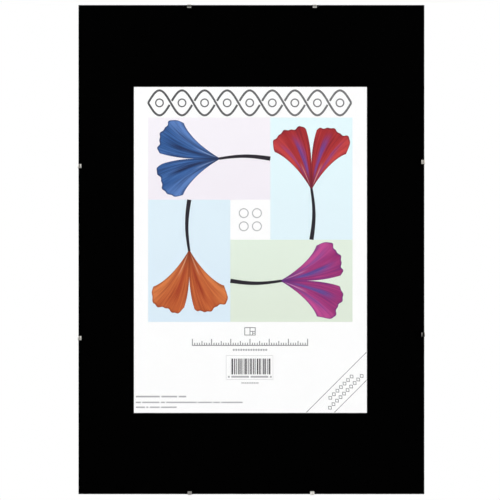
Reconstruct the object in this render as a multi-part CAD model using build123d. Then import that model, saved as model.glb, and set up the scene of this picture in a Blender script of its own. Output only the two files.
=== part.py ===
from build123d import *
import math
import os

# A clip frame in millimetres: clear sheet, print and hardboard back, held together by spring clips.
# Seen from the front, X runs to the right and Z up, and the front faces -Y.
# The origin is the centre of the portrait hanging hole, in the plane of the board's back face.

# Pack of flat sheets
panel_width = 420
panel_height = 594
glazing_thickness = 2
glazing_bevel = 0.3
insert_width = 283
insert_height = 396
insert_thickness = 0.2
insert_slip_across = -1.2
insert_slip_up = -0.4
air_gap = 0.2
backing_sheet_thickness = 0.3
board_thickness = 3

# Places of the clips, counted from the middle of the edge that they sit on
clip_offset_across = 75.5
clip_offset_up = 104.5

# Spring clip, one bent strip
clip_strip = 0.5
edge_clearance = 0.3
lip_clearance = 0.05
lip_width = 5
lip_corner_radius = 1.2
lip_lift_angle = 8
curl_inset = 2.8
curl_inside_radius = 0.6
curl_angle = 80
curl_end_length = 0.4
front_bend_radius = 0.5
back_bend_radius = 0.8
leg_width = 9
leg_root_gap = 1
leg_shoulder_inset = 5
leg_shoulder_length = 5.5
leg_shoulder_radius = 4
crest_height = 3.35
crest_inset = 8.5
crest_length = 8
crest_bend_radius = 24.75
tooth_width = 6.5
tooth_inset = 27.5
tooth_depth = 1.6
tooth_angle = 60
tooth_inside_radius = 0.4
tooth_shoulder_gap = 0.4
tooth_shoulder_radius = 0.65
tooth_taper_length = 7
tab_length = 4
tab_angle = 22
tab_rise = 1.05
tab_bend_radius = 0.95
tab_corner_radius = 2

# Slot in the board for a clip's tooth
slot_length = 14
slot_width = 4.2

# Keyhole hanger, one plate for portrait and one for landscape
hang_depth = 45
hanger_thickness = 1
hanger_width = 23
hanger_height = 24
hanger_corner_radius = 4
hanger_ear_width = 10
hanger_ear_fillet = 2.5
keyhole_radius = 4.5
keyhole_slot_width = 4.2
keyhole_slot_rise = 8
keyhole_drop = 4
nail_room = 1.6

# Rivets that hold a hanger to the board
rivet_spacing = 38
rivet_shank_radius = 1.5
rivet_head_radius = 3
rivet_head_height = 0.7
rivet_tail_radius = 2.6
rivet_tail_height = 0.7
rivet_clearance = 0.1
rivet_recess = 0.1

# Depths in the pack, from the board's back face at zero to the glazing's front
board_front = -board_thickness
backing_sheet_front = board_front - backing_sheet_thickness
insert_front = backing_sheet_front - insert_thickness
glazing_back = insert_front - air_gap
glazing_front = glazing_back - glazing_thickness

# Edges of the pack
panel_top = hang_depth
panel_bottom = panel_top - panel_height
panel_middle = (panel_top + panel_bottom) / 2

# One cutter reach that passes through everything
overrun = panel_width

# How far each hand-set clip has slipped along its slot, as a share of the slot's spare length
clip_table = {
    "clip_top_left": ("top", -clip_offset_across, 0.0),
    "clip_top_right": ("top", clip_offset_across, 0.37),
    "clip_right_upper": ("right", clip_offset_up, 0.48),
    "clip_right_lower": ("right", -clip_offset_up, 0.40),
    "clip_bottom_right": ("bottom", clip_offset_across, -0.43),
    "clip_bottom_left": ("bottom", -clip_offset_across, 0.16),
    "clip_left_lower": ("left", -clip_offset_up, -0.75),
    "clip_left_upper": ("left", clip_offset_up, -0.83),
}


def sheet(width, height, front, thickness, across=0, up=0):
    """A flat sheet of the pack whose front face lies at the depth front."""
    middle = Pos(across, front + thickness / 2, panel_middle + up)
    return middle * Box(width, thickness, height)


def edge_place(edge, along):
    """A place on the pack's edge, turned so that its own +Z points out of the pack."""
    places = {
        "top": Pos(along, 0, panel_top),
        "right": Pos(panel_width / 2, 0, panel_middle + along) * Rot(0, 90, 0),
        "bottom": Pos(along, 0, panel_bottom) * Rot(0, 180, 0),
        "left": Pos(-panel_width / 2, 0, panel_middle + along) * Rot(0, -90, 0),
    }
    return places[edge]


def hanger_places():
    """Where the two hanging holes are, each turned so that its own +Z is up when hung."""
    landscape = Pos(-panel_width / 2 + hang_depth, 0, panel_middle) * Rot(0, -90, 0)
    return {"portrait": Pos(0, 0, 0), "landscape": landscape}


def rivet_places():
    """Both rivets of a hanger, from its hanging hole."""
    half = rivet_spacing / 2
    return [Pos(side * half, 0, keyhole_drop) for side in (-1, 1)]


def glazing_sheet():
    """Clear sheet, its front corners broken all round."""
    body = sheet(panel_width, panel_height, glazing_front, glazing_thickness)
    front = body.faces().sort_by(Axis.Y)[0]
    return chamfer(front.edges(), glazing_bevel)


def rivet_cutter():
    """Stepped hole for one rivet through the board, wider at the front for its set tail."""
    shank = rivet_shank_radius + rivet_clearance
    tail = rivet_tail_radius + rivet_clearance
    step = board_front + rivet_recess + rivet_tail_height + rivet_clearance
    profile = Polyline(
        (0, board_front),
        (tail, board_front),
        (tail, step),
        (shank, step),
        (shank, 0),
        (0, 0),
        close=True,
    )
    return revolve(make_face(profile), Axis.Y)


def nail_opening():
    """Room in the board for a nail's head behind the keyhole."""
    reach = keyhole_slot_rise + 2 * (keyhole_radius + nail_room)
    width = 2 * (keyhole_radius + nail_room)
    outline = Plane.XZ * Pos(0, keyhole_slot_rise / 2) * Rot(0, 0, 90) * SlotOverall(reach, width)
    return extrude(outline, board_thickness, both=True)


def backing_board():
    """Hardboard back with a slot for each clip's tooth and an opening behind each keyhole."""
    board = sheet(panel_width, panel_height, board_front, board_thickness)
    for edge, along, _ in clip_table.values():
        slot = Pos(0, 0, -tooth_inset) * Box(slot_length, overrun, slot_width)
        board -= edge_place(edge, along) * slot
    for place in hanger_places().values():
        board -= place * nail_opening()
        for spot in rivet_places():
            board -= place * spot * rivet_cutter()
    return board


def hanger():
    """Stamped plate: rounded centre, two ears for rivets, and a keyhole that runs upwards."""
    ears = SlotOverall(rivet_spacing + hanger_ear_width, hanger_ear_width)
    centre = RectangleRounded(hanger_width, hanger_height, hanger_corner_radius)
    plate = ears + centre
    half = hanger_width / 2
    inner = [v for v in plate.vertices() if abs(abs(v.X) - half) < hanger_ear_fillet / 10]
    joins = [v for v in inner if abs(abs(v.Y) - hanger_ear_width / 2) < hanger_ear_fillet / 10]
    plate = fillet(joins, hanger_ear_fillet)
    slot = SlotCenterToCenter(keyhole_slot_rise, keyhole_slot_width)
    keyhole = Circle(keyhole_radius) + Pos(0, keyhole_slot_rise / 2) * Rot(0, 0, 90) * slot
    plate = Pos(0, keyhole_drop) * plate - keyhole
    for side in (-1, 1):
        hole = Circle(rivet_shank_radius + rivet_clearance)
        plate -= Pos(side * rivet_spacing / 2, keyhole_drop) * hole
    return extrude(Plane.XZ * plate, -hanger_thickness)


def rivet():
    """One rivet: flat head on the plate, tail set flat in the board's step."""
    tail = board_front + rivet_recess
    seat = hanger_thickness
    profile = Polyline(
        (0, seat + rivet_head_height),
        (rivet_head_radius, seat + rivet_head_height),
        (rivet_head_radius, seat),
        (rivet_shank_radius, seat),
        (rivet_shank_radius, tail + rivet_tail_height),
        (rivet_tail_radius, tail + rivet_tail_height),
        (rivet_tail_radius, tail),
        (0, tail),
        close=True,
    )
    return revolve(make_face(profile), Axis.Y)


def curl_centre():
    """Centre of the lip's curl, in front of the glazing: a clip swings about it."""
    outside = curl_inside_radius + clip_strip
    return Vector(curl_inset, glazing_front - lip_clearance - outside)


def clip_path():
    """Middle line of the strip, as points (inwards from the edge, back from the board) and radii."""
    half = clip_strip / 2
    curl = curl_inside_radius + half
    centre = curl_centre()
    lift = math.radians(lip_lift_angle)
    turn = math.radians(curl_angle)
    towards_tip = Vector(math.sin(turn), math.cos(turn))
    towards_lip = Vector(-math.sin(lift), math.cos(lift))
    tip = centre + towards_tip * curl + Vector(math.cos(turn), -math.sin(turn)) * curl_end_length
    meet = (towards_tip + towards_lip) * (curl / (1 + towards_tip.dot(towards_lip)))
    curl_corner = centre + meet
    wall = -edge_clearance - half
    lip_root = Vector(wall, curl_corner.Y - (curl_corner.X - wall) * math.tan(lift))
    leg_root = Vector(wall, leg_root_gap + half)
    crest = crest_height - half
    crest_start = Vector(crest_inset, crest)
    crest_end = Vector(crest_inset + crest_length, crest)
    flank = math.radians(tooth_angle)
    tooth_radius = tooth_inside_radius + half
    point = half - tooth_depth - tooth_radius * (1 / math.cos(flank) - 1)
    shoulder = tooth_shoulder_gap + half
    tooth_shoulder = Vector(tooth_inset - (shoulder - point) / math.tan(flank), shoulder)
    tooth_point = Vector(tooth_inset, point)
    rise = tab_rise + half
    tab_root = Vector(tooth_inset + (rise - point) / math.tan(flank), rise)
    slope = math.radians(tab_angle)
    tab_end = tab_root + Vector(math.cos(slope), math.sin(slope)) * tab_length
    points = [tip, curl_corner, lip_root, leg_root, crest_start, crest_end]
    points += [tooth_shoulder, tooth_point, tab_root, tab_end]
    inside_radii = [curl_inside_radius, front_bend_radius, back_bend_radius]
    inside_radii += [crest_bend_radius, crest_bend_radius, tooth_shoulder_radius]
    inside_radii += [tooth_inside_radius, tab_bend_radius]
    return points, [radius + half for radius in inside_radii]


def clip_outline():
    """Plan of the leg: as narrow as the lip at the edge, wide at the crest, narrow at the tooth."""
    lip = lip_width / 2
    leg = leg_width / 2
    tooth = tooth_width / 2
    outside = -edge_clearance - 2 * clip_strip
    wide = leg_shoulder_inset + leg_shoulder_length
    taper_end = tooth_inset - tooth_inside_radius - 2 * clip_strip
    taper_start = taper_end - tooth_taper_length
    tab_tip = clip_path()[0][-1].X
    half = [(lip, outside), (lip, leg_shoulder_inset), (leg, wide), (leg, taper_start)]
    half += [(tooth, taper_end), (tooth, tab_tip)]
    radii = [0, leg_shoulder_radius, leg_shoulder_radius, 0, 0, tab_corner_radius]
    points = [(x, -inset) for x, inset in half]
    points += [(-x, z) for x, z in reversed(points)]
    return make_face(FilletPolyline(*points, radius=radii + radii[::-1], close=True))


def lip_outline():
    """Plan of the lip on the front, with rounded corners at its tip."""
    tip = curl_inset + curl_inside_radius + 2 * clip_strip
    outside = -edge_clearance - 2 * clip_strip
    length = tip - outside
    lip = RectangleRounded(lip_width, length, lip_corner_radius)
    root = Pos(0, length / 4) * Rectangle(lip_width, length / 2)
    return Pos(0, -(tip + outside) / 2) * (lip + root)


def spring_clip():
    """One clip over the top edge at X zero: lip, edge wall, arched leg, tooth and finger tab."""
    points, radii = clip_path()
    path = FilletPolyline(*[(0, p.Y, -p.X) for p in points], radius=radii)
    section = Face(path.wire().offset_2d(clip_strip / 2, side=Side.BOTH))
    strip = extrude(section, leg_width / 2, both=True)
    middle = Plane((0, glazing_front / 2, 0), x_dir=(1, 0, 0), z_dir=(0, -1, 0))
    front = extrude(middle * lip_outline(), glazing_front / 2 - points[0].Y)
    back = extrude(middle * clip_outline(), -overrun)
    return strip & (front + back)


def rivets(place):
    """The two rivets of one hanger, as one group of solids."""
    return Compound(children=[place * spot * rivet() for spot in rivet_places()])


def frame_nodes():
    """Every piece by its name."""
    nodes = {
        "glazing_sheet": glazing_sheet(),
        "insert_sheet": sheet(
            insert_width,
            insert_height,
            insert_front,
            insert_thickness,
            insert_slip_across,
            insert_slip_up,
        ),
        "black_backing_sheet": sheet(
            panel_width, panel_height, backing_sheet_front, backing_sheet_thickness
        ),
        "backing_board": backing_board(),
    }
    for name, place in hanger_places().items():
        nodes[f"{name}_hanger"] = place * hanger()
        nodes[f"{name}_rivets"] = rivets(place)
    clip = spring_clip()
    spare = (slot_length - tooth_width) / 2
    for name, (edge, along, slip_share) in clip_table.items():
        nodes[name] = edge_place(edge, along + slip_share * spare) * clip
    return nodes


os.makedirs("parts", exist_ok=True)
for name, part in frame_nodes().items():
    export_step(part, f"parts/{name}.step")
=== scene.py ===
import math

import bmesh
import bpy
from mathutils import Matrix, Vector


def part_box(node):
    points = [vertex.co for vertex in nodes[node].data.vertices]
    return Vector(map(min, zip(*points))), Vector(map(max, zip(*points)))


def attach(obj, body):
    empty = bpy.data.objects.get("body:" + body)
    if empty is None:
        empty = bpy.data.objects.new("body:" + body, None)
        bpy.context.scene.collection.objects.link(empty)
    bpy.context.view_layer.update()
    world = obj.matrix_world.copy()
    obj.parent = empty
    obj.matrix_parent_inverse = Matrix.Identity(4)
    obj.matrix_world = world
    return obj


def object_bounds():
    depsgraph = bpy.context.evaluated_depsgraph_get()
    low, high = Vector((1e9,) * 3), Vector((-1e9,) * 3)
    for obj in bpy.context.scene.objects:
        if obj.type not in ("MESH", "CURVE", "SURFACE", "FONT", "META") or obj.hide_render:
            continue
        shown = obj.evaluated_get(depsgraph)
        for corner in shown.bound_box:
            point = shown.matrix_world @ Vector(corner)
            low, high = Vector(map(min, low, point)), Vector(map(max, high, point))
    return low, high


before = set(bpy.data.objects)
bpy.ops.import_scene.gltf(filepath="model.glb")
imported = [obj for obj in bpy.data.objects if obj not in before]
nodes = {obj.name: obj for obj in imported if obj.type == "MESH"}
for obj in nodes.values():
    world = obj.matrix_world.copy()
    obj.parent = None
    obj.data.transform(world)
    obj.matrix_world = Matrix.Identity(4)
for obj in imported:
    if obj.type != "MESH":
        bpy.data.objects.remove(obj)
cad_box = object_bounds()


# Backing board
# The back is 3 mm hardboard, pressed from brown wood fibre on a wire mesh that leaves its print in
# the rear face. It is sawn to size, with a slot for each clip and an opening behind each keyhole.

mm = 0.001

weld_reach = 0.0005 * mm
edge_break_steps = 3
edge_break_angle = 40


class Signal:
    """A shader socket that takes part in arithmetic: each operator adds one Math node."""

    def __init__(self, graph, node, output=0):
        self.graph = graph
        self.made = node
        self.socket = node.outputs[output] if node.outputs else None

    def math(self, operation, *values):
        return self.graph.node("ShaderNodeMath", {"operation": operation}, dict(enumerate(values)))

    def __add__(self, other):
        return self.math("ADD", self, other)

    def __radd__(self, other):
        return self.math("ADD", other, self)

    def __sub__(self, other):
        return self.math("SUBTRACT", self, other)

    def __rsub__(self, other):
        return self.math("SUBTRACT", other, self)

    def __mul__(self, other):
        return self.math("MULTIPLY", self, other)

    def __rmul__(self, other):
        return self.math("MULTIPLY", other, self)

    def __pow__(self, other):
        return self.math("POWER", self, other)

    def __gt__(self, other):
        return self.math("GREATER_THAN", self, other)

    def __lt__(self, other):
        return self.math("LESS_THAN", self, other)

    def __abs__(self):
        return self.math("ABSOLUTE", self)

    def sine(self):
        return self.math("SINE", self)

    def capped(self):
        return self.math("MINIMUM", self, 1)

    def ramp(self, low, high):
        """From 0 at low to 1 at high, smooth in between."""
        settings = {"interpolation_type": "SMOOTHSTEP"}
        inputs = {"Value": self, "From Min": low, "From Max": high}
        return self.graph.node("ShaderNodeMapRange", settings, inputs)

    def parts(self):
        """The three numbers of a vector."""
        split = self.graph.node("ShaderNodeSeparateXYZ", inputs={0: self})
        return [Signal(self.graph, split.made, axis) for axis in "XYZ"]

    def stretched(self, across, deep, up):
        """A place measured with other units along X, Y and Z."""
        scale = (1 / across, 1 / deep, 1 / up)
        settings = {"operation": "MULTIPLY"}
        return self.graph.node("ShaderNodeVectorMath", settings, {0: self, 1: scale})


class Graph:
    """The node tree of one finish, or of the world."""

    def __init__(self, owner):
        owner.use_nodes = True
        self.owner = owner
        self.tree = owner.node_tree
        self.tree.nodes.clear()

    def node(self, kind, settings=None, inputs=None, output=0):
        """One node: its settings first, then the values or links of its sockets."""
        made = self.tree.nodes.new(kind)
        for name, value in (settings or {}).items():
            setattr(made, name, value)
        for name, value in (inputs or {}).items():
            if isinstance(value, Signal):
                self.tree.links.new(value.socket, made.inputs[name])
            else:
                made.inputs[name].default_value = value
        return Signal(self, made, output)

    def place(self):
        """Where a point of the surface is on the object, in metres."""
        return self.node("ShaderNodeTexCoord", output="Object")

    def facing(self):
        """Which way the surface faces on the object, as three numbers."""
        return self.node("ShaderNodeTexCoord", output="Normal").parts()

    def noise(self, place, size, detail):
        """Soft random values from 0 to 1, with patches of about the given size."""
        inputs = {"Vector": place, "Scale": 1 / size, "Detail": detail}
        return self.node("ShaderNodeTexNoise", inputs=inputs)

    def mix(self, factor, first, second):
        """The first colour at factor 0, and the second at 1."""
        inputs = {0: factor, 6: first, 7: second}
        return self.node("ShaderNodeMix", {"data_type": "RGBA"}, inputs, output=2)

    def bump(self, height, depth):
        """The normal of a relief whose height of 1 is the given depth."""
        return self.node("ShaderNodeBump", inputs={"Height": height, "Distance": depth})

    def surface(self, **sockets):
        """The finish itself, with sockets by their names in lower case."""
        inputs = {name.replace("_", " ").title(): value for name, value in sockets.items()}
        if "Specular" in inputs:
            inputs["Specular IOR Level"] = inputs.pop("Specular")
        return self.node("ShaderNodeBsdfPrincipled", inputs=inputs)

    def output(self, shader):
        """Ends the graph of a finish, and gives its material."""
        self.node("ShaderNodeOutputMaterial", inputs={"Surface": shader})
        return self.owner


def finish(name):
    return Graph(bpy.data.materials.new(name))


def colour(code):
    """A colour from its six-figure screen code, by the usual curve between screen and light."""
    shares = [int(code[start:start + 2], 16) / 255 for start in (0, 2, 4)]
    linear = [((share + 0.055) / 1.055) ** 2.4 if share > 0.04 else share / 12.92 for share in shares]
    return (*linear, 1)


def dress(name, material, edge_break=0):
    """Gives a built part its finish, and breaks its sharp edges."""
    part = nodes[name]
    part.data.materials.clear()
    part.data.materials.append(material)
    if edge_break:
        part.modifiers.new("join", "WELD").merge_threshold = weld_reach
        rounding = part.modifiers.new("rounding", "BEVEL")
        rounding.width = edge_break
        rounding.segments = edge_break_steps
        rounding.limit_method = "ANGLE"
        rounding.angle_limit = math.radians(edge_break_angle)
        rounding.harden_normals = True


fibre_size, fibre_share, fibre_height, fibre_dullness = 0.55 * mm, 0.55, 0.7, 0.25
cloud_size, cloud_share = 34 * mm, 0.15
strand_size, strand_stretch, strand_share, strand_height = 1.2 * mm, 6, 0.3, 0.4
pressed_dark, pressed_light, pressed_range = "674528", "9b734d", (0.32, 0.68)
shred_size, shred_stretch, shred_level = 0.8 * mm, 3, 0.69
shred_tone, shred_strength = "c29a6c", 0.5
sawn_size, sawn_stretch = 0.3 * mm, 9
sawn_dark, sawn_light, sawn_range = "7c5635", "b98f63", (0.3, 0.7)
sawn_band = 0.5
wire_pitch, wire_depth = 1.7 * mm, 0.10 * mm
wire_patch_size, wire_patch_range = 60 * mm, (0.25, 0.6)
# Painted shade in the pattern of the wire print: its dark tone and strength
wire_shade_tone, wire_shade_strength = "5c3b20", 0.30
board_dullness, board_gloss = 0.62, 0.25

board = finish("hardboard")
spot = board.place()
across, _, up = spot.parts()
_, rearward, _ = board.facing()

fibres = board.noise(spot, fibre_size, detail=5)
clouds = board.noise(spot, cloud_size, detail=3)
strands = board.noise(spot.stretched(strand_stretch, 1, 1), strand_size, detail=3)
tone = fibres * fibre_share + clouds * cloud_share + strands * strand_share
pressed = board.mix(tone.ramp(*pressed_range), colour(pressed_dark), colour(pressed_light))
shreds = board.noise(spot.stretched(1, 1, shred_stretch), shred_size, detail=2) > shred_level
pressed = board.mix(shreds * shred_strength, pressed, colour(shred_tone))
cuts = board.noise(spot.stretched(1, sawn_stretch, 1), sawn_size, detail=4)
sawn = board.mix(cuts.ramp(*sawn_range), colour(sawn_dark), colour(sawn_light))
bare = board.mix(abs(rearward) < sawn_band, pressed, sawn)

turn = 2 * math.pi / wire_pitch
wires = (across * turn).sine() * (up * turn).sine() * 0.5 + 0.5
patches = board.noise(spot, wire_patch_size, detail=2).ramp(*wire_patch_range)
imprint = wires * (rearward > sawn_band) * patches
relief = board.bump(imprint + fibres * fibre_height + strands * strand_height, wire_depth)
# The wire print is raised by the bump and also darkened: painted shade in its pattern
shade = board.mix(imprint * wire_shade_strength, bare, colour(wire_shade_tone))
dullness = board_dullness + fibres * fibre_dullness
board_surface = board.surface(
    base_color=shade, roughness=dullness, specular=board_gloss, normal=relief
)
dress("backing_board", board.output(board_surface))


# Hangers and rivets
# Two keyhole plates, one for hanging upright and one for hanging across, are stamped from 1 mm
# zinc-plated steel strip. Two flat-headed steel rivets through its ears hold each to the board.

plate_edge_break = 0.16 * mm
plate_dullness, plate_relief = 0.24, 0.012 * mm
rolled_size, rolled_stretch, rolled_dullness = 0.12 * mm, 60, 0.1
haze_size, haze_range, haze_height, haze_dullness = 9 * mm, (0.35, 0.65), 0.5, 0.22
haze_cool, haze_warm = "b9bbc0", "c9c6bf"
spangle_size, spangle_range = 3.2 * mm, (0.4, 0.7)
spangle_tone, spangle_strength = "989ca4", 0.3

rolling_ways = {
    "portrait_hanger": (rolled_stretch, 1, 1),
    "landscape_hanger": (1, 1, rolled_stretch),
}
for name, way in rolling_ways.items():
    zinc = finish(name + "_zinc")
    spot = zinc.place()
    rolled = zinc.noise(spot.stretched(*way), rolled_size, detail=3)
    spangle = zinc.noise(spot, spangle_size, detail=1)
    haze = zinc.noise(spot, haze_size, detail=3)
    tint = zinc.mix(haze.ramp(*haze_range), colour(haze_cool), colour(haze_warm))
    tint = zinc.mix(spangle.ramp(*spangle_range) * spangle_strength, tint, colour(spangle_tone))
    dullness = plate_dullness + haze * haze_dullness + rolled * rolled_dullness
    relief = zinc.bump(rolled + haze * haze_height, plate_relief)
    plated = zinc.surface(base_color=tint, metallic=1.0, roughness=dullness, normal=relief)
    dress(name, zinc.output(plated), plate_edge_break)

rivet_edge_break = 0.6 * mm
rivet_dullness, rivet_relief = 0.18, 0.02 * mm
struck_size, struck_range, struck_dullness = 1.8 * mm, (0.35, 0.7), 0.2
struck_light, struck_dark = "d6d3ce", "b3afa9"

for name in ("portrait_rivets", "landscape_rivets"):
    steel = finish(name + "_steel")
    struck = steel.noise(steel.place(), struck_size, detail=3)
    tint = steel.mix(struck.ramp(*struck_range), colour(struck_light), colour(struck_dark))
    dullness = rivet_dullness + struck * struck_dullness
    relief = steel.bump(struck, rivet_relief)
    bright = steel.surface(base_color=tint, metallic=1.0, roughness=dullness, normal=relief)
    dress(name, steel.output(bright), rivet_edge_break)


# Black sheet
# A sheet of deep black card, as large as the board, lies on the board's front and shows all round
# the print. It is loose, and only the pressure of the clips holds it.

card_deep, card_worn = (0.0001, 0.0001, 0.0001, 1), (0.0004, 0.0004, 0.0004, 1)
card_fibre_size, card_depth = 0.35 * mm, 0.02 * mm
card_dullness, card_gloss = 0.9, 0.01

card = finish("black_card")
card_fibres = card.noise(card.place(), card_fibre_size, detail=4)
card_tone = card.mix(card_fibres, card_deep, card_worn)
card_relief = card.bump(card_fibres, card_depth)
card_surface = card.surface(
    base_color=card_tone, roughness=card_dullness, specular=card_gloss, normal=card_relief
)
dress("black_backing_sheet", card.output(card_surface))


# Insert
# The loose insert is a sheet of coated white paper, smaller than the frame and a little off its
# middle. Nothing but the pressure between the sheets holds it.

paper_cool, paper_warm = (0.955, 0.955, 0.957, 1), (0.975, 0.974, 0.972, 1)
pulp_size, wave_size = 1.4 * mm, 120 * mm
pulp_height, wave_height, paper_depth = 0.2, 8, 0.02 * mm
paper_dullness, paper_gloss = 0.55, 0.2

paper = finish("white_paper")
spot = paper.place()
pulp = paper.noise(spot, pulp_size, detail=4)
waves = paper.noise(spot, wave_size, detail=1)
white = paper.mix(pulp, paper_cool, paper_warm)
paper_relief = paper.bump(pulp * pulp_height + waves * wave_height, paper_depth)
paper_surface = paper.surface(
    base_color=white, roughness=paper_dullness, specular=paper_gloss, normal=paper_relief
)
dress("insert_sheet", paper.output(paper_surface))


# Print on the insert
# Everything printed lies on the paper as thin layers of ink: a band of line ornament, a picture of
# four leaves on tinted fields, rows of plain bars, a strip of upright bars and a corner band.

ink_layer = 0.04 * mm
ink_bite = 0.01 * mm
ink_join = 0.001 * mm
round_steps = 48
mottle_size = 1.1 * mm
ink_depth = 0.004 * mm
ink_dullness, ink_gloss = 0.5, 0.2

paper_low, paper_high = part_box("insert_sheet")


def on_sheet(across, down):
    """A point of the print, in millimetres from the sheet's top left corner."""
    return Vector((paper_low.x + across * mm, paper_low.y, paper_high.z - down * mm))


def bar(left, top, right, bottom):
    """One rectangle, as a list of faces."""
    return [[(left, top), (right, top), (right, bottom), (left, bottom)]]


def stroke(points, widths, closed=False):
    """A line of ink along points, as four-sided faces that meet in mitred corners."""
    spots = [Vector(point) for point in points]
    ends = spots[1:] + spots[:1]
    ways = [(end - start).normalized() for start, end in zip(spots, ends)]
    if not closed:
        ways[-1] = ways[-2]
    sides = []
    for i, (spot, onward) in enumerate(zip(spots, ways)):
        inward = ways[i - 1] if closed or i > 0 else onward
        along = (inward + onward).normalized()
        width = widths[i] if isinstance(widths, list) else widths
        reach = Vector((-along.y, along.x)) * width / 2 / along.dot(onward)
        sides.append((spot + reach, spot - reach))
    pairs = list(zip(sides, sides[1:] + sides[:1]))
    if not closed:
        pairs.pop()
    return [[start[0], end[0], end[1], start[1]] for start, end in pairs]


def disc(across, down, radius):
    """One round dot."""
    turns = [2 * math.pi * i / round_steps for i in range(round_steps)]
    return [[(across + radius * math.cos(a), down + radius * math.sin(a)) for a in turns]]


def ring(across, down, radius, width):
    """One thin circle."""
    return stroke(disc(across, down, radius)[0], width, closed=True)


def print_ink(name, faces, layer, material, shares=None):
    """One piece of ink: flat faces raised off the paper, layer by layer, as a closed thin body."""
    mesh = bpy.data.meshes.new(name)
    build = bmesh.new()
    chart = build.loops.layers.uv.new("chart")
    for i, face in enumerate(faces):
        made = build.faces.new([build.verts.new(on_sheet(*point)) for point in face])
        if shares:
            for loop, share in zip(made.loops, shares[i]):
                loop[chart].uv = share
    bmesh.ops.remove_doubles(build, verts=build.verts, dist=ink_join)
    raised = bmesh.ops.extrude_face_region(build, geom=build.faces[:])
    corners = {item for item in raised["geom"] if isinstance(item, bmesh.types.BMVert)}
    for corner in build.verts:
        corner.co.y -= layer * ink_layer if corner in corners else (layer - 1) * ink_layer - ink_bite
    bmesh.ops.recalc_face_normals(build, faces=build.faces)
    build.to_mesh(mesh)
    build.free()
    piece = bpy.data.objects.new(name, mesh)
    bpy.context.scene.collection.objects.link(piece)
    mesh.materials.append(material)
    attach(piece, "panel")


def inked(made, tint):
    """Ends the graph of an ink: it is nearly as dull as the paper, and shows the paper's pulp."""
    relief = made.bump(made.noise(made.place(), pulp_size, detail=4), ink_depth)
    surface = made.surface(
        base_color=tint, roughness=ink_dullness, specular=ink_gloss, normal=relief
    )
    return made.output(surface)


def ink(name, code, mottle=0.03, fade=None):
    """Printing ink with the slight mottle of the paper under it. Its fade, if any, is a second
    colour, the axis that it takes over along, and the places where it starts and is full."""
    made = finish(name)
    spot = made.place()
    tint = colour(code)
    if fade:
        other, axis, start, full = fade
        tint = made.mix(spot.parts()[axis].ramp(start, full), tint, colour(other))
    thick = (1 - made.noise(spot, mottle_size, detail=4)) * (2 * mottle)
    return inked(made, made.mix(thick, tint, (0, 0, 0, 1)))


scale_ink = ink("scale_ink", "808082")
faint_ink = ink("faint_ink", "b4b4b6")
dark_ink = ink("dark_ink", "2c2830")

# Band of line ornament: two strands twisted over and under each other, with a ring in each eye

band_left, band_right = 17.3, 264.0
band_top, band_bottom = 3.0, 35.7
band_dark, band_light = "565658", "767677"
band_stroke = 2.5
band_eyes = 9
band_gap = 2.7
eye_ring = 4.6
eye_ring_stroke = 1.5
band_steps = 40

band_middle = (band_top + band_bottom) / 2
band_rise = (band_bottom - band_top - band_stroke) / 2
eye_width = (band_right - band_left) / band_eyes


def passes_under(eye, side, crossing):
    """Whether the strand on this side of the eye goes under at a crossing, counted from the left."""
    first_strand = (side > 0) == (eye % 2 == 0)
    inside = 0 < crossing < band_eyes
    return inside and first_strand == (crossing % 2 == 0)


def strand(eye, side):
    """A strand's points across one eye, short of the ends where it passes under the other."""
    shares = [step / band_steps for step in range(band_steps + 1)]
    line = [(eye + share, side * math.sin(math.pi * share)) for share in shares]
    points = [(band_left + x * eye_width, band_middle - y * band_rise) for x, y in line]
    if passes_under(eye, side, eye):
        points = [point for point in points if math.dist(point, points[0]) > band_gap]
    if passes_under(eye, side, eye + 1):
        points = [point for point in points if math.dist(point, points[-1]) > band_gap]
    return points


twist = []
for eye in range(band_eyes):
    for side in (-1, 1):
        twist += stroke(strand(eye, side), band_stroke)
    twist += ring(band_left + (eye + 0.5) * eye_width, band_middle, eye_ring, eye_ring_stroke)
band_fade = (band_light, 0, on_sheet(band_left, band_top).x, on_sheet(band_right, band_top).x)
print_ink("print_twist_band", twist, 1, ink("title_ink", band_dark, fade=band_fade))

# Picture: four tinted fields turn about a small square, each with a leaf whose stem runs off it.
# A field has its left, top, right and bottom in the picture, and the tints of its head and foot.

picture_left, picture_top = 17.3, 37.2
field_long, field_short = 148.4, 99.8
picture_side = field_long + field_short
field_mottle = 0.01

fields = {
    "lilac": (0, 0, field_long, field_short, "f5f1f7", "f2edf4"),
    "cyan": (field_long, 0, picture_side, field_long, "e5f8fc", "e2f3f9"),
    "green": (field_short, field_long, picture_side, picture_side, "e2eee0", "dfe9da"),
    "blue": (0, field_short, field_short, picture_side, "dfeff8", "dbebf6"),
}
for name, (left, top, right, bottom, head_code, foot_code) in fields.items():
    left, right = picture_left + left, picture_left + right
    top, bottom = picture_top + top, picture_top + bottom
    field_fade = (head_code, 2, on_sheet(left, bottom).z, on_sheet(left, top).z)
    field_ink = ink(f"{name}_field_ink", foot_code, field_mottle, field_fade)
    print_ink(f"print_field_{name}", bar(left, top, right, bottom), 1, field_ink)

small_ring, small_ring_stroke, small_ring_offset = 5.4, 1.2, 8
picture_middle = picture_side / 2
small_rings = []
for side_across in (-1, 1):
    for side_down in (-1, 1):
        x = picture_left + picture_middle + side_across * small_ring_offset
        y = picture_top + picture_middle + side_down * small_ring_offset
        small_rings += ring(x, y, small_ring, small_ring_stroke)
print_ink("print_small_rings", small_rings, 1, faint_ink)

# Sizes of a leaf in millimetres and degrees. Its outline is drawn in shares: 0 to 1 from the stem
# out to the rim, and 0 to 1 from the notch in its middle to its outer side.

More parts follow.
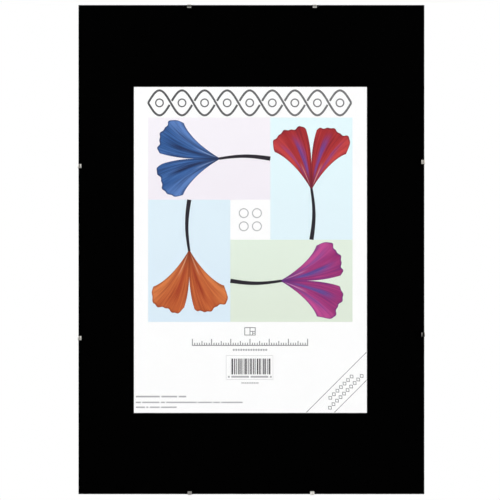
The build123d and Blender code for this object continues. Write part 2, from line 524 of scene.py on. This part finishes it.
leaf_reach = 78
leaf_margin = 10
leaf_spread = 44
leaf_neck_share = 0.66
cleft_start_share = 0.42
cleft_opening, cleft_curve = 5, 1.3
shoulder_drop, shoulder_start_share = 0.20, 0.72
notch_drop, notch_end_share = 0.07, 0.16
long_wave, long_waves = 0.020, 2.3
short_wave, short_waves = 0.008, 6.1
lobe_columns = 60
lobe_rows = 26
stem_start, stem_bow = 2, 3.0
stem_width, stem_flare = 3.0, 2.2
stem_steps = 24

# Tints of a leaf: how often each grain changes across the fan and outwards, and from where to
# where each tint comes in, across the fan or outwards

wash_across, wash_outward, wash_layer, wash_drift = 7, 1.2, 0.0, 0.30
vein_across, vein_outward, vein_layer = 19, 1.5, 8.0
hair_across, hair_outward, hair_layer = 46, 2.2, 4.0
heart_end = 0.42
side_light_across, side_light_outward, side_light = (0.52, 1.0), (0.15, 0.6), 0.75
streaks = ((0.36, 0.17, 0.9), (0.78, 0.09, 0.5))
streak_start, streak_end = (0.12, 0.34), (0.62, 0.97)
flare_centre, flare_half_width, flare_strength = 0.62, 0.10, 0.7
flare_start, flare_end = (0.04, 0.14), (0.2, 0.52)
fold_half_width, fold_end, fold_strength = 0.12, (0.7, 1.0), 0.7
pale_veins, pale_vein_strength = (0.5, 0.72), 0.35
deep_veins, deep_vein_strength = (0.3, 0.48), 0.45
pale_hairs, pale_hair_strength = (0.45, 0.75), 0.30
deep_hairs, deep_hair_strength = (0.25, 0.5), 0.35
side_margin, rim_margin, margin_strength = (0.95, 0.99), (0.965, 0.995), 0.6


def leaf_ink(name, base, middle, light, streak, pale):
    """Watercolour tints that run along the fanned veins, from the stem to the rim."""
    made = finish(name)
    chart = made.node("ShaderNodeUVMap", {"uv_map": "chart"})
    round_fan, outward, _ = chart.parts()

    def grain(across_rate, outward_rate, layer, detail):
        """Noise that is drawn out along the veins."""
        inputs = {0: round_fan * across_rate, 1: outward * outward_rate, 2: layer}
        return made.noise(made.node("ShaderNodeCombineXYZ", inputs=inputs), 1, detail)

    wash = grain(wash_across, wash_outward, wash_layer, 3)
    veins = grain(vein_across, vein_outward, vein_layer, 2)
    hairs = grain(hair_across, hair_outward, hair_layer, 4)
    side = abs(round_fan)
    drift = side + (wash - 0.5) * wash_drift
    tint = made.mix(outward.ramp(0.0, heart_end), colour(base), colour(middle))
    sunlit = drift.ramp(*side_light_across) * outward.ramp(*side_light_outward)
    tint = made.mix(sunlit * side_light, tint, colour(light))
    for centre, half_width, strength in streaks:
        band = 1 - abs(drift - centre).ramp(0.0, half_width)
        band = band * outward.ramp(*streak_start) * (1 - outward.ramp(*streak_end))
        tint = made.mix(band * strength, tint, colour(streak))
    flare = 1 - abs(drift - flare_centre).ramp(0.0, flare_half_width)
    flare = flare * outward.ramp(*flare_start) * (1 - outward.ramp(*flare_end))
    tint = made.mix(flare * flare_strength, tint, colour(pale))
    fold = (1 - side.ramp(0.0, fold_half_width)) * (1 - outward.ramp(*fold_end))
    tint = made.mix(fold * fold_strength, tint, colour(base))
    tint = made.mix(veins.ramp(*pale_veins) * pale_vein_strength, tint, colour(light))
    tint = made.mix((1 - veins.ramp(*deep_veins)) * deep_vein_strength, tint, colour(base))
    tint = made.mix(hairs.ramp(*pale_hairs) * pale_hair_strength, tint, colour(light))
    tint = made.mix((1 - hairs.ramp(*deep_hairs)) * deep_hair_strength, tint, colour(base))
    margin = (side.ramp(*side_margin) + outward.ramp(*rim_margin)).capped()
    return inked(made, made.mix(margin * margin_strength, tint, colour(base)))


def lobe_point(side, across_share, out_share, phase):
    """A point of one half of the leaf, from its notch (0) to its outer side (1)."""
    opening = max(out_share - cleft_start_share, 0) / (1 - cleft_start_share)
    inner = cleft_opening * opening ** cleft_curve
    outer = leaf_spread * (leaf_neck_share + (1 - leaf_neck_share) * out_share)
    angle = inner + (outer - inner) * across_share
    shoulder = max((across_share - shoulder_start_share) / (1 - shoulder_start_share), 0)
    notch = max(1 - across_share / notch_end_share, 0)
    rim = 1 - shoulder_drop * shoulder ** 2 - notch_drop * notch ** 2
    rim += long_wave * math.sin(2 * math.pi * long_waves * across_share + phase)
    rim += short_wave * math.sin(2 * math.pi * short_waves * across_share + 2 * phase)
    reach = leaf_reach * out_share * (1 + (rim - 1) * out_share ** 2)
    turn = math.radians(side * angle)
    return reach * math.cos(turn), reach * math.sin(turn)


def leaf(name, apex, heading, phase, material):
    """Blade and stem of one leaf, its stem running from the apex to the edge of its field."""
    way = Vector((math.cos(math.radians(heading)), -math.sin(math.radians(heading))))
    over = Vector((-way.y, way.x))
    root = Vector(apex)

    def placed(along, aside):
        return tuple(root + way * along + over * aside)

    faces, shares = [], []
    for side in (-1, 1):
        for i in range(lobe_columns):
            for j in range(lobe_rows):
                corners = [(i, j), (i + 1, j), (i + 1, j + 1), (i, j + 1)]
                spots = [(a / lobe_columns, b / lobe_rows) for a, b in corners]
                if j == 0:
                    spots = spots[1:]
                faces.append([placed(*lobe_point(side, a, b, phase + side)) for a, b in spots])
                shares.append([(side * a, b) for a, b in spots])
    print_ink(f"print_leaf_{name}", faces, 2, material, shares)
    stem_length = field_long - leaf_margin - leaf_reach + stem_start
    steps = [i / stem_steps for i in range(stem_steps + 1)]
    line = [placed(stem_start - stem_length * s, stem_bow * math.sin(math.pi * s)) for s in steps]
    widths = [stem_width + stem_flare * s for s in steps]
    print_ink(f"print_stem_{name}", stroke(line, widths), 3, dark_ink)


leaf_tints = {
    "blue": ("1d2546", "2f5a96", "6a90d0", "1c2348", "a8c0ee"),
    "red": ("641a30", "a42a2e", "d44e4c", "6a4a9e", "f2bccb"),
    "magenta": ("572c78", "9a3070", "cc569c", "4a509c", "e6b8e2"),
    "orange": ("80301a", "bd5c30", "e2884e", "a23a20", "f8caa8"),
}
headings = {"blue": 180, "red": 90, "magenta": 0, "orange": 270}
rim_phases = {"blue": 0.4, "red": 1.5, "magenta": 2.7, "orange": 3.9}

half_short = field_short / 2
apex_reach = leaf_margin + leaf_reach
right_edge, bottom_edge = picture_left + picture_side, picture_top + picture_side
apexes = {
    "blue": (picture_left + apex_reach, picture_top + half_short),
    "red": (right_edge - half_short, picture_top + apex_reach),
    "magenta": (right_edge - apex_reach, bottom_edge - half_short),
    "orange": (picture_left + half_short, bottom_edge - apex_reach),
}
for name, tints in leaf_tints.items():
    leaf(name, apexes[name], headings[name], rim_phases[name], leaf_ink(f"{name}_leaf_ink", *tints))

# Small figures under the picture: a halved sheet, a plain scale, rows of dots, and rows of bars.
# A row of dots has its place down the sheet, length, radius and count, and a row of bars its left
# end, top, height, gap and lengths.

row_middle = 141.0


def row(left, top, height, gap, lengths):
    """A row of bars of the given lengths, from the left."""
    faces = []
    for length in lengths:
        faces += bar(left, top, left + length, top + height)
        left += length + gap
    return faces


def dotted(down, length, radius, count):
    """A row of dots about the middle."""
    pitch = (length - 2 * radius) / (count - 1)
    faces = []
    for i in range(count):
        faces += disc(row_middle + (i - (count - 1) / 2) * pitch, down, radius)
    return faces


halved_top, halved_height = 292.4, 9.0
halved_width = halved_height * math.sqrt(2)
halved_line = 0.85
halved_cuts = 4

left, top = row_middle - halved_width / 2, halved_top
width, height = halved_width, halved_height
inset = halved_line / 2
outline = [(left, top), (left + width, top), (left + width, top + height), (left, top + height)]
halved = stroke(outline, halved_line, closed=True)
for cut in range(halved_cuts):
    if cut % 2 == 0:
        left, width = left + width / 2, width / 2
        ends = [(left, top + inset), (left, top + height - inset)]
    else:
        top, height = top + height / 2, height / 2
        ends = [(left + inset, top), (left + width - inset, top)]
    halved += stroke(ends, halved_line)
print_ink("print_halved_sheet", halved, 1, scale_ink)

scale_length, scale_foot, scale_divisions = 141.0, 314.4, 48
scale_line = 1.0
scale_group, scale_heights, scale_low_height = 8, {0: 8.4, 4: 5.8}, 3.6

half_line = scale_line / 2
scale = row(row_middle - scale_length / 2, scale_foot - scale_line, scale_line, 0, [scale_length])
for i in range(scale_divisions + 1):
    x = row_middle + (i / scale_divisions - 0.5) * (scale_length - scale_line)
    height = scale_heights.get(i % scale_group, scale_low_height)
    scale += bar(x - half_line, scale_foot - height, x + half_line, scale_foot - half_line)
print_ink("print_plain_scale", scale, 1, scale_ink)

dots_under_scale = (319.4, 42.0, 1.3, 14)
dots_under_strip = (359.6, 21.0, 0.9, 10)
low_left = 2.4
low_rows = (
    (375.2, 1.9, 2.0, (29.0, 19.0, 9.0)),
    (382.4, 1.6, 1.6, (6.0, 21.0, 5.0, 37.0, 17.0, 8.0, 26.0)),
    (388.3, 1.6, 1.6, (11.0, 2.6, 12.0, 19.0)),
)

small_marks = dotted(*dots_under_scale) + dotted(*dots_under_strip)
for low_row in low_rows:
    small_marks += row(low_left, *low_row)
print_ink("print_small_marks", small_marks, 1, faint_ink)

# Strip of upright bars in a thin frame, with a row of plain bars at their foot. The upright bars are
# one to four modules wide and their gaps one to three, in a made-up order.

strip_left, strip_top, strip_right, strip_bottom = 112.0, 326.3, 169.0, 355.4
strip_line = 0.3
bars_left, bars_right = 118.0, 167.0
bars_top, bars_bottom = 330.0, 349.2
bar_module, bar_share = 0.42, 0.9
bar_step, bar_kinds = 7, 4
gap_step, gap_kinds = 5, 3
last_bar_room = 3 * bar_module
foot_row = (114.2, 351.0, 2.2, 1.9, (2.2, 21.5, 21.5, 2.2))

strip_corners = [(strip_left, strip_top), (strip_right, strip_top)]
strip_corners += [(strip_right, strip_bottom), (strip_left, strip_bottom)]
strip_frame = stroke(strip_corners, strip_line, closed=True)
print_ink("print_strip_frame", strip_frame, 1, faint_ink)

upright = []
left = bars_left
count = 0
while left < bars_right - last_bar_room:
    wide = (1 + count * bar_step % bar_kinds) * bar_module
    upright += bar(left, bars_top, left + wide * bar_share, bars_bottom)
    left += wide + (1 + count * gap_step % gap_kinds) * bar_module
    count += 1
print_ink("print_upright_bars", upright, 1, dark_ink)
print_ink("print_strip_row", row(*foot_row), 1, faint_ink)

# Corner band: two slanting lines cut the lower right corner, with two chains of lozenges between.
# A chain has its middle, length and count.

corner_margin, corner_line = 0.6, 0.7
corner_starts = (209.4, 243.5)
lozenge_half_height, lozenge_line = 2.5, 0.75
lozenge_chains = (((251.5, 364.7), 42.7, 7), ((257.4, 370.4), 60.6, 10))

corner_edge = (paper_high.x - paper_low.x) / mm - corner_margin
corner_foot = (paper_high.z - paper_low.z) / mm - corner_margin
slant = math.sqrt(0.5)

corner = []
for start in corner_starts:
    climb = corner_edge - start
    corner += stroke([(start, corner_foot), (corner_edge, corner_foot - climb)], corner_line)
print_ink("print_corner_lines", corner, 1, scale_ink)

chains = []
for (x, y), length, count in lozenge_chains:
    half = length / count / 2
    reach = half - lozenge_line
    for i in range(count):
        along = (2 * i + 1 - count) * half
        tips = [(along - reach, 0), (along, -lozenge_half_height)]
        tips += [(along + reach, 0), (along, lozenge_half_height)]
        turned = [(x + (a + b) * slant, y + (b - a) * slant) for a, b in tips]
        chains += stroke(turned, lozenge_line, closed=True)
print_ink("print_corner_chains", chains, 1, scale_ink)


# Clear sheet
# The front is a 2 mm sheet of clear styrene, sawn to the size of the board with its front corners
# scraped. It lies loose on the print, and shows only by its gloss and its pale edges.

clear_index = 1.5
face_dullness, face_range = 0.02, (0.55, 0.8)
edge_dullness, edge_gloss = 0.35, 0.5
edge_dark, edge_light = "c9d2d2", "f2f6f6"
frost_share = 0.55
saw_mark_size, saw_mark_stretch = 0.25 * mm, 14

clear = finish("clear_styrene")
spot = clear.place()
_, forward, _ = clear.facing()
is_edge = 1 - abs(forward).ramp(*face_range)
saw_marks = clear.noise(spot.stretched(1, saw_mark_stretch, 1), saw_mark_size, detail=3)
toward = 1 - clear.node("ShaderNodeNewGeometry", output="Backfacing")
gloss = clear.node("ShaderNodeFresnel", inputs={"IOR": clear_index}) * toward
see_through = clear.node("ShaderNodeBsdfTransparent")
shine = clear.node("ShaderNodeBsdfGlossy", inputs={"Roughness": face_dullness})
pane = clear.node("ShaderNodeMixShader", inputs={0: gloss, 1: see_through, 2: shine})
edge_tint = clear.mix(saw_marks, colour(edge_dark), colour(edge_light))
frosted = clear.surface(base_color=edge_tint, roughness=edge_dullness, specular=edge_gloss)
frost = is_edge * frost_share
clear_surface = clear.node("ShaderNodeMixShader", inputs={0: frost, 1: pane, 2: frosted})
dress("glazing_sheet", clear.output(clear_surface))


# Spring clips
# Each of the eight clips is one strip of 0.5 mm nickel-plated spring steel, bent by a press into a
# lip, a wall, an arched leg and a tooth that bites in the board's slot. They slip on from the edge.

clip_edge_break = 0.06 * mm
clip_relief = 0.01 * mm
clip_tone, clip_dullness = "a19e99", 0.34
lip_start, lip_full = 5.4 * mm, 6.2 * mm
# Painted highlight on each clip's outward wall: where it lies, its near-white tone, its strength and
# extra dullness
wall_start, wall_full, wall_range = -1.0 * mm, 0.5 * mm, (0.12, 0.55)
wall_highlight_tone, wall_highlight_strength, wall_dullness = "fbfaf6", 0.8, 0.15
drawn_size, drawn_stretch, drawn_range = 0.10 * mm, 40, (0.5, 0.8)
drawn_tone, drawn_strength = "f0eee8", 0.25
stain_size, stain_range = 4 * mm, (0.3, 0.7)
stain_tone, stain_strength = "8f8a80", 0.3
handled_size, handled_height = 1.6 * mm, 0.6
handled_dullness, handled_gloss = 0.14, 0.05

# Each lip has its own dullness, and a tone that is painted light and shade for how it leans to the
# light

lip_light_and_dullness = {
    "clip_top_left": ("c4c2bd", 0.29),
    "clip_top_right": ("ece9e2", 0.37),
    "clip_right_upper": ("ddd7ce", 0.43),
    "clip_right_lower": ("757370", 0.22),
    "clip_bottom_right": ("fffdf8", 0.62),
    "clip_bottom_left": ("dedbd5", 0.37),
    "clip_left_lower": ("f0ede6", 0.38),
    "clip_left_upper": ("d8d5ce", 0.36),
}
for name, (painted_lip_tone, lip_dullness) in lip_light_and_dullness.items():
    strip = finish(name + "_nickel")
    spot = strip.place()
    _, deep, _ = spot.parts()
    on_lip = (0 - deep).ramp(lip_start, lip_full)
    on_ends = name.startswith(("clip_top", "clip_bottom"))
    way = (1, 1, drawn_stretch) if on_ends else (drawn_stretch, 1, 1)
    drawn = strip.noise(spot.stretched(*way), drawn_size, detail=3)
    stains = strip.noise(spot, stain_size, detail=3)
    handled = strip.noise(spot, handled_size, detail=4)
    outward = strip.facing()[2 if on_ends else 0]
    # The wall facing out at the board's edge is painted near white, a painted highlight, and is made
    # duller too
    painted_wall_highlight = abs(outward).ramp(*wall_range) * (0 - deep).ramp(wall_start, wall_full)
    # On the lip the nickel takes that lip's painted light and shade
    tint = strip.mix(on_lip, colour(clip_tone), colour(painted_lip_tone))
    tint = strip.mix(stains.ramp(*stain_range) * stain_strength, tint, colour(stain_tone))
    tint = strip.mix(drawn.ramp(*drawn_range) * drawn_strength, tint, colour(drawn_tone))
    tint = strip.mix(painted_wall_highlight * wall_highlight_strength, tint, colour(wall_highlight_tone))
    dullness = clip_dullness + on_lip * (lip_dullness - clip_dullness)
    dullness = dullness + handled * handled_dullness - handled_gloss + painted_wall_highlight * wall_dullness
    relief = strip.bump(drawn + handled * handled_height, clip_relief)
    plated = strip.surface(base_color=tint, metallic=1.0, roughness=dullness, normal=relief)
    dress(name, strip.output(plated), clip_edge_break)


# Floor, lamps, surroundings and camera
# The frame hangs clear above a plain pale floor, against white. Soft lamps stand at the left, at the
# right and behind, and what lies behind the camera is dark, so the clear sheet mirrors nothing.

floor_drop = 0.35
floor_half = 1.6
floor_white, floor_dullness, floor_gloss = (0.86, 0.86, 0.86, 1), 0.9, 0.1
shadow_start, shadow_end = 0.15, 1.1
horizon_level = 0.42

low, high = cad_box
middle = (low + high) / 2
floor_level = low.z - floor_drop
floor_signs = [(-1, -1), (1, -1), (1, 1), (-1, 1)]
floor_corners = [(x * floor_half, y * floor_half, floor_level) for x, y in floor_signs]
floor_mesh = bpy.data.meshes.new("floor")
floor_mesh.from_pydata(floor_corners, [], [(0, 1, 2, 3)])
floor = bpy.data.objects.new("floor", floor_mesh)
bpy.context.scene.collection.objects.link(floor)

ground = finish("pale_floor")
across, deep, _ = ground.place().parts()
away = (across ** 2 + deep ** 2) ** 0.5
seen = ground.node("ShaderNodeLightPath", output="Is Camera Ray")
mirrored = ground.node("ShaderNodeLightPath", output="Is Glossy Ray")
plain = ground.surface(base_color=floor_white, roughness=floor_dullness, specular=floor_gloss)
horizon_grey = (horizon_level, horizon_level, horizon_level, 1)
shown_white = ground.mix(mirrored, (1, 1, 1, 1), horizon_grey)
glow = ground.node("ShaderNodeEmission", inputs={"Color": shown_white, "Strength": 1.0})
whitened = (seen * away.ramp(shadow_start, shadow_end) + mirrored).capped()
from_above = ground.node("ShaderNodeMixShader", inputs={0: whitened, 1: plain, 2: glow})
from_below = ground.node("ShaderNodeNewGeometry", output="Backfacing")
unseen = ground.node("ShaderNodeBsdfTransparent")
floor_surface = ground.node("ShaderNodeMixShader", inputs={0: from_below, 1: from_above, 2: unseen})
floor_mesh.materials.append(ground.output(floor_surface))

# Lamps: place, side and watts

lamps = {
    "lamp_left": ((-1.9, -1.6, 0.7), 1.4, 36),
    "lamp_right": ((1.9, -1.6, 0.5), 1.4, 27.5),
    "lamp_rear": ((1.5, 1.7, 1.3), 1.8, 44),
}
for name, (place, side, power) in lamps.items():
    data = bpy.data.lights.new(name, "AREA")
    data.shape = "SQUARE"
    data.size = side
    data.energy = power
    lamp = bpy.data.objects.new(name, data)
    lamp.location = place
    lamp.rotation_euler = (middle - Vector(place)).to_track_quat("-Z", "Y").to_euler()
    bpy.context.scene.collection.objects.link(lamp)

ambient_level = 0.45
full_sky = 0.65
dark_edge, dark_full = 34, 15

world = bpy.data.worlds.new("surroundings")
bpy.context.scene.world = world
around = Graph(world)
_, backward, upward = around.node("ShaderNodeTexCoord", output="Generated").parts()
seen = around.node("ShaderNodeLightPath", output="Is Camera Ray")
mirrored = around.node("ShaderNodeLightPath", output="Is Glossy Ray")
dark_from, dark_to = [math.cos(math.radians(angle)) for angle in (dark_edge, dark_full)]
dark_side = (0 - backward).ramp(dark_from, dark_to)
sky_level = horizon_level + upward.ramp(0.0, full_sky) * (1 - horizon_level)
mirrored_level = sky_level * (1 - dark_side)
level = seen + (1 - seen) * (mirrored * mirrored_level + (1 - mirrored) * ambient_level)
sky = around.node("ShaderNodeBackground", inputs={"Color": (1, 1, 1, 1), "Strength": level})
around.node("ShaderNodeOutputWorld", inputs={"Surface": sky})

view_scale = 1.2132 * mm
view_pixels = 500
frame_right, frame_up = 1.4 * view_scale, 0.4 * view_scale
lens, sensor = 100, 36

camera_data = bpy.data.cameras.new("camera")
camera_data.lens = lens
camera_data.sensor_width = sensor
distance = view_scale * view_pixels * lens / sensor
sheet_low, sheet_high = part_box("glazing_sheet")
sheet_middle = (sheet_low + sheet_high) / 2
camera = bpy.data.objects.new("camera", camera_data)
camera.location = (sheet_middle.x - frame_right, sheet_low.y - distance, sheet_middle.z - frame_up)
camera.rotation_euler = (math.radians(90), 0, 0)
bpy.context.scene.collection.objects.link(camera)
bpy.context.scene.camera = camera
bpy.context.scene.view_settings.view_transform = "Standard"
